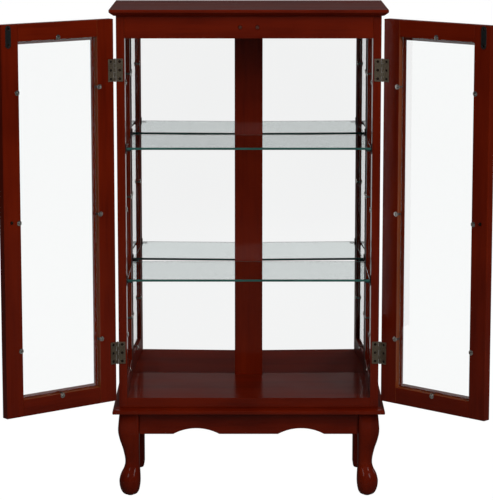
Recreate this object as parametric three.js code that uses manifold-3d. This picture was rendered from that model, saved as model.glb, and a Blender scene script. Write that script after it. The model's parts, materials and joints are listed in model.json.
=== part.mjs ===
// A curio cabinet: a glazed, mirror-backed case on short legs, with two framed glass doors.
// Millimetres, +Z up. The case face is the plane y = 0, the cabinet faces -Y, z = 0 is the ground.
import * as THREE from 'three';
import { mergeVertices } from 'three/addons/utils/BufferGeometryUtils.js';
import Module from 'manifold-3d';

const manifoldLibrary = await Module();
manifoldLibrary.setup();

// ---- Driving dimensions -------------------------------------------------------------------
const BOARD = 18; // thickness of the side and door frames and of the top rail
const CASE_HALF = 285.5; // from the middle to the outer face of a side
const CASE_DEPTH = 282;
const INNER_HALF = CASE_HALF - BOARD;

const GROUND_TO_BASE = 192; // underside of the base board
const BASE_TOP = 204.5;
const FLOOR_TOP = 226;
const RAIL_BOTTOM = 1018; // underside of the top rail and of the sides' top rails
const CROWN_BOTTOM = 1067;
const CROWN_TOP = 1081;

const BOARD_HALF = 300; // crown and base board, from the middle to the nose
const FRONT_OVERHANG = 18;
const CHAMFER_WIDTH = 10;
const CROWN_NOSE_BOTTOM = CROWN_TOP - 6.5;
const BASE_NOSE_TOP = GROUND_TO_BASE + 7;

// Framed glass, much the same section in the sides and in the doors
const DOOR_GLASS_RECESS = 10; // from the frame's inner face to the pane
const SIDE_GLASS_RECESS = 5;
const GLASS_THICKNESS = 3;
const LIP_THICKNESS = 4.7; // a door's lip, which holds the pane from outside
const LIP_WIDTH = 7;
const PANE_CLEARANCE = 0.5;
const GAP = 0.3; // between pieces that turn together

const FRONT_STILE_WIDTH = 46;
const REAR_STILE_FRONT = 228;
const SIDE_RAIL_TOP = 262; // top edge of the sides' bottom rails

// Back
const CENTRE_STILE = { half: 31.5, front: 235, back: 249.5 };
const MIRROR = { outerX: 266.9, outerY: 256.5, length: 265, thickness: 3, angle: 1.45 };
const BACK_PANEL = { front: 260, back: 264 };

// Shelves and their supports
const SHELF = { half: 265, front: 5, back: 234, thickness: 5 };
const SHELF_TOPS = { lower: 490.5, upper: 781 };
const SUPPORT = { plate: 2, tongue: 11, tongueHeight: 3.5, above: 8, below: 9, width: 8 };
const SUPPORT_PIN = { radius: 2.5, length: 8, holeRadius: 2.8, holeDepth: 9 };
const SPARE_HOLE_PITCH = 87; // from a support's pin hole to the unused one above or below it
const SUPPORT_Y = { front: 12, rear: 232.5 };

// Legs and aprons
const LEG_WIDTH = 43.5;
const REAR_LEG_WIDTH = 44;
const APRON = { bottom: 142, thickness: 16, setback: 8 };
const ARCH = { centre: 116, span: 102, rise: 13 };
const PAD = { radius: 7.5, height: 3 };

// Doors: the hinge axis stands just outside the corner of the case
const HINGE_AXIS = { x: 288, y: -1.5 };
const DOOR = { bottom: 220.5, height: 840, stile: 42, rail: 36.5 };
const DOOR_EDGE = HINGE_AXIS.x - CASE_HALF; // hinge axis to the door's hinged edge
const DOOR_WIDTH = CASE_HALF - 1.5;
const DOOR_INNER_FACE = HINGE_AXIS.y; // in the door's own frame, the axis is its origin
const DOOR_OUTER_FACE = DOOR_INNER_FACE - BOARD;
const DOOR_OPEN = { left: 142, right: 137.5 }; // degrees, as the doors stand

const HINGE = {
  heights: [328, 950], length: 49, knuckles: 5, knuckleRadius: 2.5, knuckleGap: 0.2,
  pinRadius: 1.1, boreRadius: 1.3, leafThickness: 1.1, leafStart: 2.9, leafEnd: 17.4, tabStart: 1.6,
};
const KNOB = { fromEdge: 19, height: 643, bore: 2.4 };
const MAGNET = { x: 18.5, height: 1042, radius: 4, proud: 1, depth: 12, clearance: 0.2 };
const STRIKE = { fromEdge: 17.2, width: 13.5, top: 1.5, length: 48, thickness: 1.2 };

const ROUND_SEGMENTS = 24; // legs and knobs
const SMALL_ROUND_SEGMENTS = 16; // pins, knuckles, bores and magnets

// ---- Finishes -----------------------------------------------------------------------------
const cherryWood = () => new THREE.MeshStandardMaterial({ color: 0x56150d, roughness: 0.28 });
const hardboard = () => new THREE.MeshStandardMaterial({ color: 0x5a3d29, roughness: 0.8 });
const clearGlass = () => new THREE.MeshStandardMaterial({
  color: 0xe6f2ee, roughness: 0.04, transparent: true, opacity: 0.3,
});
const silveredGlass = () => new THREE.MeshStandardMaterial({
  color: 0xdfe3e4, roughness: 0.03, metalness: 1,
});
const antiqueBrass = () => new THREE.MeshStandardMaterial({
  color: 0x6f6450, roughness: 0.45, metalness: 0.9,
});
const blackSteel = () => new THREE.MeshStandardMaterial({
  color: 0x17181a, roughness: 0.45, metalness: 0.6,
});
const blackPlastic = () => new THREE.MeshStandardMaterial({ color: 0x141516, roughness: 0.4 });
const nickel = () => new THREE.MeshStandardMaterial({
  color: 0x8a8684, roughness: 0.35, metalness: 0.9,
});

// ---- Shapes -------------------------------------------------------------------------------
/** A box between two values along each axis, given in either order. */
function box([x0, x1], [y0, y1], [z0, z1]) {
  const size = [Math.abs(x1 - x0), Math.abs(y1 - y0), Math.abs(z1 - z0)];
  return new THREE.BoxGeometry(...size).translate((x0 + x1) / 2, (y0 + y1) / 2, (z0 + z1) / 2);
}

/** A round bar along an axis, from one value to another, at the other two coordinates. */
function rod(axis, radius, [from, to], [first, second]) {
  const length = Math.abs(to - from);
  const bar = new THREE.CylinderGeometry(radius, radius, length, SMALL_ROUND_SEGMENTS);
  const middle = (from + to) / 2;
  if (axis === 'x') return bar.rotateZ(Math.PI / 2).translate(middle, first, second);
  if (axis === 'y') return bar.translate(first, middle, second);
  return bar.rotateX(Math.PI / 2).translate(first, second, middle);
}

/** A closed skin over rings of points, all counter-clockwise from above, lowest ring first. */
function loft(rings) {
  const count = rings[0].length;
  const positions = rings.flat().flatMap((point) => [point.x, point.y, point.z]);
  const indices = [];
  for (let level = 0; level < rings.length - 1; level += 1) {
    for (let i = 0; i < count; i += 1) {
      const next = (i + 1) % count;
      const [a, b] = [level * count + i, level * count + next];
      const [c, d] = [b + count, a + count];
      indices.push(a, b, c, a, c, d);
    }
  }
  const top = (rings.length - 1) * count;
  for (let i = 1; i < count - 1; i += 1) {
    indices.push(0, i + 1, i, top, top + i, top + i + 1);
  }
  const geometry = new THREE.BufferGeometry();
  geometry.setAttribute('position', new THREE.Float32BufferAttribute(positions, 3));
  geometry.setIndex(indices);
  return geometry;
}

/** A ring of points on a superellipse; a higher squareness makes it squarer. */
function roundedSquareRing({ x, y, z, half, squareness }) {
  const ring = [];
  for (let i = 0; i < ROUND_SEGMENTS; i += 1) {
    const angle = ((i + 0.5) / ROUND_SEGMENTS) * 2 * Math.PI;
    const along = (value) => Math.sign(value) * Math.abs(value) ** (2 / squareness) * half;
    ring.push(new THREE.Vector3(x + along(Math.cos(angle)), y + along(Math.sin(angle)), z));
  }
  return ring;
}

/** A board over the whole footprint whose front and ends step in and out from level to level. */
function mouldedBoard(levels) {
  return loft(levels.map(({ z, inset }) => {
    const half = BOARD_HALF - inset;
    const front = -FRONT_OVERHANG + inset;
    return [[-half, front], [half, front], [half, CASE_DEPTH], [-half, CASE_DEPTH]]
      .map(([x, y]) => new THREE.Vector3(x, y, z));
  }));
}

function toSolid(geometry) {
  const bare = geometry.clone();
  bare.deleteAttribute('normal');
  bare.deleteAttribute('uv');
  const merged = mergeVertices(bare);
  return new manifoldLibrary.Manifold(new manifoldLibrary.Mesh({
    numProp: 3,
    vertProperties: new Float32Array(merged.attributes.position.array),
    triVerts: new Uint32Array(merged.index.array),
  }));
}

function toGeometry(solid) {
  const mesh = solid.getMesh();
  const geometry = new THREE.BufferGeometry();
  geometry.setAttribute('position', new THREE.BufferAttribute(mesh.vertProperties, 3));
  geometry.setIndex(new THREE.BufferAttribute(mesh.triVerts, 1));
  return geometry;
}

/** Joins the first list of geometries into one body and cuts the second list out of it. */
function shaped(joined, cut = []) {
  const body = joined.map(toSolid).reduce((whole, piece) => whole.add(piece));
  return toGeometry(cut.map(toSolid).reduce((whole, piece) => whole.subtract(piece), body));
}

function piece(name, geometry, material) {
  const mesh = new THREE.Mesh(geometry, material);
  mesh.name = name;
  return mesh;
}

const SIDES = [{ label: 'left', sign: -1 }, { label: 'right', sign: 1 }];
const span = (sign, from, to) => [sign * from, sign * to];

// ---- Crown, base, floor and top rail --------------------------------------------------------
function makeBoards() {
  const crown = mouldedBoard([
    { z: CROWN_BOTTOM, inset: CHAMFER_WIDTH },
    { z: CROWN_NOSE_BOTTOM, inset: 0 },
    { z: CROWN_TOP, inset: 0 },
  ]);
  const base = mouldedBoard([
    { z: GROUND_TO_BASE, inset: 0 },
    { z: BASE_NOSE_TOP, inset: 0 },
    { z: BASE_TOP, inset: CHAMFER_WIDTH },
  ]);
  return [
    piece('crown_board', crown, cherryWood()),
    piece('base_board', base, cherryWood()),
    piece('floor_panel', floorGeometry(), cherryWood()),
  ];
}

/** The floor ends in front of the mirrors, which slant, and is notched for the centre stile. */
function floorGeometry() {
  const mirrorFront = (x) => {
    const slope = Math.tan(THREE.MathUtils.degToRad(MIRROR.angle));
    return MIRROR.outerY - (MIRROR.outerX - x) * slope - GAP;
  };
  const notchHalf = CENTRE_STILE.half + GAP;
  const notchFront = CENTRE_STILE.front - GAP;
  const rightEdge = [
    [INNER_HALF, 0],
    [INNER_HALF, mirrorFront(INNER_HALF)],
    [notchHalf, mirrorFront(notchHalf)],
    [notchHalf, notchFront],
  ];
  const leftEdge = rightEdge.map(([x, y]) => [-x, y]).reverse();
  const outline = new THREE.Shape([...rightEdge, ...leftEdge].map(([x, y]) => new THREE.Vector2(x, y)));
  return new THREE.ExtrudeGeometry(outline, { depth: FLOOR_TOP - BASE_TOP, bevelEnabled: false })
    .translate(0, 0, BASE_TOP);
}

function makeTopRailAndMagnets() {
  const rail = box([-INNER_HALF, INNER_HALF], [0, BOARD], [RAIL_BOTTOM, CROWN_BOTTOM]);
  const boreEnds = [-1, MAGNET.depth + MAGNET.clearance];
  const bores = SIDES.map(({ sign }) => rod(
    'y', MAGNET.radius + MAGNET.clearance, boreEnds, [sign * MAGNET.x, MAGNET.height],
  ));
  const magnets = SIDES.map(({ label, sign }) => piece(
    `catch_magnet_${label}`,
    rod('y', MAGNET.radius, [-MAGNET.proud, MAGNET.depth], [sign * MAGNET.x, MAGNET.height]),
    nickel(),
  ));
  return [piece('top_rail', shaped([rail], bores), cherryWood()), ...magnets];
}

// ---- Sides: two stiles, two rails and a pane each -------------------------------------------
function pinHoleHeights() {
  const middles = Object.values(SHELF_TOPS).map((top) => top - SHELF.thickness / 2);
  return middles.flatMap((middle) => [-1, 0, 1].map((step) => middle + step * SPARE_HOLE_PITCH));
}

function pinHoles(sign, y) {
  const depth = INNER_HALF + SUPPORT_PIN.holeDepth;
  return pinHoleHeights().map((height) => rod(
    'x', SUPPORT_PIN.holeRadius, span(sign, INNER_HALF - 1, depth), [y, height],
  ));
}

function makeSide({ label, sign }) {
  const paneInner = INNER_HALF + SIDE_GLASS_RECESS;
  const lipInner = paneInner + GLASS_THICKNESS + GAP;
  const thick = span(sign, INNER_HALF, CASE_HALF);
  const lip = span(sign, lipInner, CASE_HALF);
  const frontEdge = FRONT_STILE_WIDTH;
  const stileHeight = [BASE_TOP, CROWN_BOTTOM];
  const opening = [SIDE_RAIL_TOP, RAIL_BOTTOM];
  const railLength = [frontEdge, REAR_STILE_FRONT];
  const railLip = [frontEdge + LIP_WIDTH, REAR_STILE_FRONT - LIP_WIDTH];
  const overlap = 1; // the lip starts inside its bar so that the two fuse

  const frontStile = shaped([
    box(thick, [0, frontEdge], stileHeight),
    box(lip, [frontEdge - overlap, frontEdge + LIP_WIDTH], opening),
  ], pinHoles(sign, SUPPORT_Y.front));
  const rearStile = shaped([
    box(thick, [REAR_STILE_FRONT, CASE_DEPTH], stileHeight),
    box(lip, [REAR_STILE_FRONT - LIP_WIDTH, REAR_STILE_FRONT + overlap], opening),
  ], pinHoles(sign, SUPPORT_Y.rear));
  const topRail = shaped([
    box(thick, railLength, [RAIL_BOTTOM, CROWN_BOTTOM]),
    box(lip, railLip, [RAIL_BOTTOM - LIP_WIDTH, RAIL_BOTTOM + overlap]),
  ]);
  const bottomRail = shaped([
    box(thick, railLength, [BASE_TOP, SIDE_RAIL_TOP]),
    box(lip, railLip, [SIDE_RAIL_TOP - overlap, SIDE_RAIL_TOP + LIP_WIDTH]),
  ]);
  const pane = box(
    span(sign, paneInner, paneInner + GLASS_THICKNESS),
    [frontEdge + PANE_CLEARANCE, REAR_STILE_FRONT - PANE_CLEARANCE],
    [SIDE_RAIL_TOP + PANE_CLEARANCE, RAIL_BOTTOM - PANE_CLEARANCE],
  );
  return [
    piece(`${label}_front_stile`, frontStile, cherryWood()),
    piece(`${label}_rear_stile`, rearStile, cherryWood()),
    piece(`${label}_side_top_rail`, topRail, cherryWood()),
    piece(`${label}_side_bottom_rail`, bottomRail, cherryWood()),
    piece(`${label}_side_glass`, pane, clearGlass()),
  ];
}

// ---- Back: a centre stile, two mirror panes set at a slight angle and a thin panel -----------
// They stand on the base board, behind the floor.
function makeMirror({ label, sign }) {
  const angle = THREE.MathUtils.degToRad(MIRROR.angle);
  const height = CROWN_BOTTOM - BASE_TOP - 2 * GAP;
  const pane = box([0, -sign * MIRROR.length], [0, MIRROR.thickness], [0, height]);
  const mirror = piece(`${label}_mirror`, pane, silveredGlass());
  mirror.position.set(sign * MIRROR.outerX, MIRROR.outerY, BASE_TOP + GAP);
  mirror.rotation.z = sign * angle;
  return mirror;
}

function makeBack() {
  const stile = box(
    [-CENTRE_STILE.half, CENTRE_STILE.half],
    [CENTRE_STILE.front, CENTRE_STILE.back],
    [BASE_TOP, CROWN_BOTTOM],
  );
  const panelHalf = INNER_HALF - GAP;
  const panel = box(
    [-panelHalf, panelHalf], [BACK_PANEL.front, BACK_PANEL.back], [BASE_TOP, CROWN_BOTTOM],
  );
  return [
    piece('back_centre_stile', stile, cherryWood()),
    ...SIDES.map(makeMirror),
    piece('back_panel', panel, hardboard()),
  ];
}

// ---- Glass shelves on plugged supports -------------------------------------------------------
function makeSupport(shelfTop, sign, y) {
  const shelfBottom = shelfTop - SHELF.thickness;
  const inner = INNER_HALF - SUPPORT.plate;
  const width = [y - SUPPORT.width / 2, y + SUPPORT.width / 2];
  const overlap = 1;
  return shaped([
    box(span(sign, inner, INNER_HALF), width, [shelfBottom - SUPPORT.below, shelfTop + SUPPORT.above]),
    box(
      span(sign, inner - SUPPORT.tongue, inner + overlap), width,
      [shelfBottom - SUPPORT.tongueHeight, shelfBottom],
    ),
    rod(
      'x', SUPPORT_PIN.radius, span(sign, inner + overlap, INNER_HALF + SUPPORT_PIN.length),
      [y, shelfTop - SHELF.thickness / 2],
    ),
  ]);
}

function makeShelves() {
  const pieces = [];
  for (const [level, top] of Object.entries(SHELF_TOPS)) {
    const height = [top - SHELF.thickness, top];
    const glass = box([-SHELF.half, SHELF.half], [SHELF.front, SHELF.back], height);
    pieces.push(piece(`${level}_shelf`, glass, clearGlass()));
    for (const { label, sign } of SIDES) {
      for (const [place, y] of Object.entries(SUPPORT_Y)) {
        const name = `${level}_shelf_support_${place}_${label}`;
        pieces.push(piece(name, makeSupport(top, sign, y), blackPlastic()));
      }
    }
  }
  return pieces;
}

// ---- Legs and aprons ---------------------------------------------------------------------
// The cabriole leg's outline: how far it stands out beyond the case's faces, and how far its
// inner faces lie in from them, at a few heights. A smooth curve runs through the points.
const CABRIOLE = [
  { z: 3, out: -9, inner: 35, squareness: 2 },
  { z: 10, out: -3.2, inner: 40.5, squareness: 2.1 },
  { z: 22, out: 1.2, inner: 44, squareness: 2.2 },
  { z: 36, out: 2.2, inner: 45.2, squareness: 2.2 },
  { z: 50, out: -1.4, inner: 44.8, squareness: 2.3 },
  { z: 64, out: -8.8, inner: 43.8, squareness: 2.5 },
  { z: 80, out: -10.9, inner: 43.2, squareness: 2.8 },
  { z: 105, out: -6.6, inner: 43.2, squareness: 3.4 },
  { z: 128, out: 0, inner: 43.4, squareness: 4.4 },
  { z: 148, out: 3.6, inner: LEG_WIDTH, squareness: 5.5 },
  { z: 168, out: 2.6, inner: LEG_WIDTH, squareness: 7 },
  { z: GROUND_TO_BASE, out: 0, inner: LEG_WIDTH, squareness: 9 },
];
const CABRIOLE_STEPS = 2; // rings from one outline point to the next

/** Rings of a front leg in its own corner frame: x and y run inward from the case's faces. */
function cabrioleRings() {
  const outline = new THREE.CatmullRomCurve3(
    CABRIOLE.map(({ z, out, inner }) => new THREE.Vector3(z, out, inner)),
  );
  const segments = CABRIOLE.length - 1;
  const rings = [];
  for (let step = 0; step <= segments * CABRIOLE_STEPS; step += 1) {
    const at = step / CABRIOLE_STEPS;
    const index = Math.min(Math.floor(at), segments - 1);
    const point = outline.getPoint(at / segments);
    const squareness = THREE.MathUtils.lerp(
      CABRIOLE[index].squareness, CABRIOLE[index + 1].squareness, at - index,
    );
    const middle = (point.z - point.y) / 2;
    rings.push({ x: middle, y: middle, z: point.x, half: (point.z + point.y) / 2, squareness });
  }
  return rings;
}

function straightLegRings() {
  const half = REAR_LEG_WIDTH / 2;
  const levels = [[PAD.height, 6], [5, 2.5], [9, 0.6], [14, 0], [GROUND_TO_BASE, 0]];
  return levels.map(([z, inset]) => ({ x: half, y: half, z, half: half - inset, squareness: 12 }));
}

/** A leg from its rings, stood on a small round pad, placed in one corner of the case. */
function makeLeg(rings, sign, cornerY, towardsBack) {
  const foot = rings[0];
  const pad = { x: foot.x, y: foot.y, half: PAD.radius, squareness: 2 };
  const all = [{ ...pad, z: 0 }, { ...pad, z: PAD.height }, ...rings];
  const placed = all.map(({ x, y, ...rest }) => roundedSquareRing({
    x: sign * (CASE_HALF - x), y: cornerY + towardsBack * y, ...rest,
  }));
  return loft(placed);
}

function makeLegs() {
  const pieces = [];
  for (const { label, sign } of SIDES) {
    const front = makeLeg(cabrioleRings(), sign, 0, 1);
    const rear = makeLeg(straightLegRings(), sign, CASE_DEPTH, -1);
    pieces.push(piece(`front_leg_${label}`, front, cherryWood()));
    pieces.push(piece(`rear_leg_${label}`, rear, cherryWood()));
  }
  return pieces;
}

/** The front apron's face: a board whose lower edge is cut by two shallow arches. */
function archedApronGeometry(half) {
  const radius = (ARCH.rise ** 2 + (ARCH.span / 2) ** 2) / (2 * ARCH.rise);
  const arcHalfAngle = Math.asin(ARCH.span / 2 / radius);
  const centreHeight = APRON.bottom + ARCH.rise - radius;
  const outline = new THREE.Shape();
  outline.moveTo(-half, GROUND_TO_BASE);
  outline.lineTo(-half, APRON.bottom);
  for (const { sign } of SIDES) {
    outline.absarc(
      sign * ARCH.centre, centreHeight, radius,
      Math.PI / 2 + arcHalfAngle, Math.PI / 2 - arcHalfAngle, true,
    );
  }
  outline.lineTo(half, APRON.bottom);
  outline.lineTo(half, GROUND_TO_BASE);
  return new THREE.ExtrudeGeometry(outline, {
    depth: APRON.thickness, bevelEnabled: false, curveSegments: 16,
  }).rotateX(Math.PI / 2).translate(0, APRON.setback + APRON.thickness, 0);
}

function makeAprons() {
  const height = [APRON.bottom, GROUND_TO_BASE];
  const frontHalf = CASE_HALF - LEG_WIDTH - GAP;
  const rearHalf = CASE_HALF - REAR_LEG_WIDTH - GAP;
  const rearFace = CASE_DEPTH - APRON.setback;
  const sideLength = [LEG_WIDTH + GAP, CASE_DEPTH - REAR_LEG_WIDTH - GAP];
  const outer = CASE_HALF - APRON.setback;
  const rear = box([-rearHalf, rearHalf], [rearFace - APRON.thickness, rearFace], height);
  return [
    piece('front_apron', archedApronGeometry(frontHalf), cherryWood()),
    ...SIDES.map(({ label, sign }) => piece(
      `${label}_apron`,
      box(span(sign, outer - APRON.thickness, outer), sideLength, height),
      cherryWood(),
    )),
    piece('rear_apron', rear, cherryWood()),
  ];
}

// ---- Hinges: the leaf on the case carries the pin, the leaf on the door turns on it -----------
/** Height ranges of the knuckles of one leaf, counted from the hinge's lower end. */
function knuckleRanges(height, parity) {
  const pitch = HINGE.length / HINGE.knuckles;
  const bottom = height - HINGE.length / 2;
  const ranges = [];
  const inset = HINGE.knuckleGap / 2;
  for (let i = parity; i < HINGE.knuckles; i += 2) {
    ranges.push([bottom + i * pitch + inset, bottom + (i + 1) * pitch - inset]);
  }
  return ranges;
}

/** A leaf around an axis at the given place; direction is the way its plate runs along x. */
function hingeLeaf({ axisX, axisY, direction, plateY, height, parity }) {
  const plate = box(
    [axisX + direction * HINGE.leafStart, axisX + direction * HINGE.leafEnd], plateY,
    [height - HINGE.length / 2, height + HINGE.length / 2],
  );
  const ranges = knuckleRanges(height, parity);
  const tabs = ranges.map((range) => box(
    [axisX + direction * HINGE.tabStart, axisX + direction * (HINGE.leafStart + 1)], plateY, range,
  ));
  const knuckles = ranges.map((range) => rod('z', HINGE.knuckleRadius, range, [axisX, axisY]));
  return [plate, ...tabs, ...knuckles];
}

function makeCaseLeaf(label, sign, height) {
  const solids = hingeLeaf({
    axisX: sign * HINGE_AXIS.x, axisY: HINGE_AXIS.y, direction: -sign,
    plateY: [-HINGE.leafThickness, 0], height, parity: 1,
  });
  const halfPin = HINGE.length / 2;
  const pin = rod(
    'z', HINGE.pinRadius, [height - halfPin, height + halfPin], [sign * HINGE_AXIS.x, HINGE_AXIS.y],
  );
  const place = height === HINGE.heights[0] ? 'lower' : 'upper';
  return piece(`${label}_${place}_hinge_case_leaf`, shaped([...solids, pin]), antiqueBrass());
}

function makeDoorLeaf(label, direction, height) {
  const solids = hingeLeaf({
    axisX: 0, axisY: 0, direction, height, parity: 0,
    plateY: [DOOR_INNER_FACE + GAP, DOOR_INNER_FACE + GAP + HINGE.leafThickness],
  });
  const bore = rod(
    'z', HINGE.boreRadius, [height - HINGE.length, height + HINGE.length], [0, 0],
  );
  const place = height === HINGE.heights[0] ? 'lower' : 'upper';
  return piece(`${label}_${place}_hinge_door_leaf`, shaped(solids, [bore]), antiqueBrass());
}

// ---- Doors, each built around its hinge axis in the closed position ---------------------------
/** The knob, its screw through the stile and the screw's head, turned in one profile. */
function knobGeometry() {
  const headBack = -(BOARD + GAP + 2.1);
  const profile = [[0, headBack], [3.6, headBack], [3.6, -(BOARD + GAP)], [2, -(BOARD + GAP)]];
  profile.push([2, GAP], [7, GAP], [7, 1.8], [3.6, 3.2], [3.4, 6.4]);
  const ball = { middle: 10.6, radius: 8.8, height: 5.4 };
  for (let i = 0; i <= 8; i += 1) {
    const angle = THREE.MathUtils.lerp(-0.28 * Math.PI, 0.5 * Math.PI, i / 8);
    const radius = i === 8 ? 0 : ball.radius * Math.cos(angle);
    profile.push([radius, ball.middle + ball.height * Math.sin(angle)]);
  }
  const points = profile.map(([radius, along]) => new THREE.Vector2(radius, along));
  return new THREE.LatheGeometry(points, ROUND_SEGMENTS).rotateX(Math.PI);
}

function strikePlateGeometry(direction, topEdge) {
  const radius = STRIKE.width / 2;
  const upper = topEdge - STRIKE.top - radius;
  const lower = topEdge - STRIKE.top - STRIKE.length + radius;
  const outline = new THREE.Shape();
  outline.absarc(0, upper, radius, 0, Math.PI, false);
  outline.absarc(0, lower, radius, Math.PI, 2 * Math.PI, false);
  const middle = direction * (DOOR_EDGE + DOOR_WIDTH - STRIKE.fromEdge);
  return new THREE.ExtrudeGeometry(outline, {
    depth: STRIKE.thickness, bevelEnabled: false, curveSegments: 10,
  }).rotateX(Math.PI / 2).translate(middle, DOOR_INNER_FACE + GAP + STRIKE.thickness, 0);
}

function makeDoor({ label, sign }) {
  const direction = -sign; // the closed door runs from its hinge towards the middle
  const across = (from, to) => [direction * (DOOR_EDGE + from), direction * (DOOR_EDGE + to)];
  const thick = [DOOR_INNER_FACE, DOOR_OUTER_FACE];
  const lip = [DOOR_OUTER_FACE + LIP_THICKNESS, DOOR_OUTER_FACE];
  const { bottom, stile, rail } = DOOR;
  const top = bottom + DOOR.height;
  const overlap = 1;
  const farStile = DOOR_WIDTH - stile;
  const lipHeight = [bottom + rail + GAP, top - rail - GAP];
  const railSpan = across(stile + GAP, farStile - GAP);
  const railLipSpan = across(stile + LIP_WIDTH + GAP, farStile - LIP_WIDTH - GAP);
  const knobX = direction * (DOOR_EDGE + DOOR_WIDTH - KNOB.fromEdge);

  const hingeStile = shaped([
    box(across(0, stile), thick, [bottom, top]),
    box(across(stile - overlap, stile + LIP_WIDTH), lip, lipHeight),
  ]);
  const meetingStile = shaped([
    box(across(farStile, DOOR_WIDTH), thick, [bottom, top]),
    box(across(farStile - LIP_WIDTH, farStile + overlap), lip, lipHeight),
  ], [rod('y', KNOB.bore, [DOOR_OUTER_FACE - 1, DOOR_INNER_FACE + 1], [knobX, KNOB.height])]);
  const topRail = shaped([
    box(railSpan, thick, [top - rail, top]),
    box(railLipSpan, lip, [top - rail - LIP_WIDTH, top - rail + overlap]),
  ]);
  const bottomRail = shaped([
    box(railSpan, thick, [bottom, bottom + rail]),
    box(railLipSpan, lip, [bottom + rail - overlap, bottom + rail + LIP_WIDTH]),
  ]);
  const paneFront = DOOR_INNER_FACE - DOOR_GLASS_RECESS;
  const pane = box(
    across(stile + PANE_CLEARANCE, farStile - PANE_CLEARANCE),
    [paneFront, paneFront - GLASS_THICKNESS],
    [bottom + rail + PANE_CLEARANCE, top - rail - PANE_CLEARANCE],
  );
  const knob = knobGeometry().translate(knobX, DOOR_OUTER_FACE, KNOB.height);

  const door = new THREE.Group();
  door.add(
    piece(`${label}_door_hinge_stile`, hingeStile, cherryWood()),
    piece(`${label}_door_meeting_stile`, meetingStile, cherryWood()),
    piece(`${label}_door_top_rail`, topRail, cherryWood()),
    piece(`${label}_door_bottom_rail`, bottomRail, cherryWood()),
    piece(`${label}_door_glass`, pane, clearGlass()),
    piece(`${label}_door_knob`, knob, antiqueBrass()),
    piece(`${label}_door_strike_plate`, strikePlateGeometry(direction, top), blackSteel()),
    ...HINGE.heights.map((height) => makeDoorLeaf(label, direction, height)),
  );
  door.position.set(sign * HINGE_AXIS.x, HINGE_AXIS.y, 0);
  door.rotation.z = sign * THREE.MathUtils.degToRad(DOOR_OPEN[label]);
  return door;
}

// ---- The whole cabinet ------------------------------------------------------------------
const cabinet = new THREE.Group();
cabinet.add(...makeBoards(), ...makeTopRailAndMagnets());
for (const side of SIDES) {
  cabinet.add(...makeSide(side));
  cabinet.add(...HINGE.heights.map((height) => makeCaseLeaf(side.label, side.sign, height)));
}
cabinet.add(...makeBack(), ...makeShelves(), ...makeLegs(), ...makeAprons());
cabinet.add(...SIDES.map(makeDoor));

// The origin is the middle of the footprint, on the ground, with the doors open.
const footprint = new THREE.Box3().setFromObject(cabinet, true).getCenter(new THREE.Vector3());
cabinet.position.set(-footprint.x, -footprint.y, 0);

export default cabinet;
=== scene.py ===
"""A curio cabinet in glossy cherry lacquer, with its two glazed doors standing open.

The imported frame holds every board, pane, shelf and hinge in its place. This script gives each of
them its finish and rounds its edges, and it builds what is finer than the frame: the carved legs,
the hinge leaves with their screws, the clips that hold the panes, the knobs, the strike plates and
the magnetic catches. Metres, +Z up; the cabinet faces -Y.
"""

import functools
import json
import logging
import math
from collections.abc import Iterable, Sequence
from dataclasses import dataclass
from enum import Enum

import bmesh
import bpy
from mathutils import Matrix, Vector


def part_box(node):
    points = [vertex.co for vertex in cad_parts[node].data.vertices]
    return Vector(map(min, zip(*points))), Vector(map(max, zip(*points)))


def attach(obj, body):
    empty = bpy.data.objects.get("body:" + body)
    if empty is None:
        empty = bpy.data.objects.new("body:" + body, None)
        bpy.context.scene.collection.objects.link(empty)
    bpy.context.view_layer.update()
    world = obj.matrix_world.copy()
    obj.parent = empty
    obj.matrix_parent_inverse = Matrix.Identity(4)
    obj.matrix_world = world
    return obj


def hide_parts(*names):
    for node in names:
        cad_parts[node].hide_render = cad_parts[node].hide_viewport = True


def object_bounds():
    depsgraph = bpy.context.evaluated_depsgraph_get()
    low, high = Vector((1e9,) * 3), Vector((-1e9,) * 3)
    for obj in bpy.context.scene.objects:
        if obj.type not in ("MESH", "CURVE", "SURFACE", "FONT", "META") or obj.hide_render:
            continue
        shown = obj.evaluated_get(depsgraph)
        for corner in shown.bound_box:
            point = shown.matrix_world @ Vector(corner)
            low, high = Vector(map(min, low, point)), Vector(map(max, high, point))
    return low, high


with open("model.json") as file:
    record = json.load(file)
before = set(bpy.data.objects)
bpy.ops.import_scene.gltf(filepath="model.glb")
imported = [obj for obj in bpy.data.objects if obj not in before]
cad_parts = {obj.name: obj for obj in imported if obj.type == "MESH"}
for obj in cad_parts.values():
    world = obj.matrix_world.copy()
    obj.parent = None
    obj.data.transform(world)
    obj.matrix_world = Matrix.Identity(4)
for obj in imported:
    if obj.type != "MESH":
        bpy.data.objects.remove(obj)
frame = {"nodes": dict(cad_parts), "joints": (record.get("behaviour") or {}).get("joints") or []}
CAD_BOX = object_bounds()

log = logging.getLogger("cabinet")

MM = 0.001
CASE = "case"
EVEN = (1.0, 1.0, 1.0)
WHITE = (1.0, 1.0, 1.0, 1.0)

Point = tuple[float, float]
Colour = tuple[float, float, float]
Socket = bpy.types.NodeSocket


class Side(Enum):
    """The cabinet's two sides, as seen from the front."""

    LEFT = "left"
    RIGHT = "right"

    @property
    def sign(self) -> int:
        """The side's direction along X."""
        return -1 if self is Side.LEFT else 1

    @property
    def door(self) -> str:
        """The body that this side's door is."""
        return f"{self.value}_door"


class Tier(Enum):
    """Lower or upper, of a pair of hinges or shelves."""

    LOWER = "lower"
    UPPER = "upper"


class Grain(Enum):
    """The way the wood's grain runs, as how little each axis changes it."""

    UPRIGHT = (1.0, 1.0, 0.06)
    ACROSS = (0.06, 1.0, 1.0)
    DEEP = (1.0, 0.06, 1.0)


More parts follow.
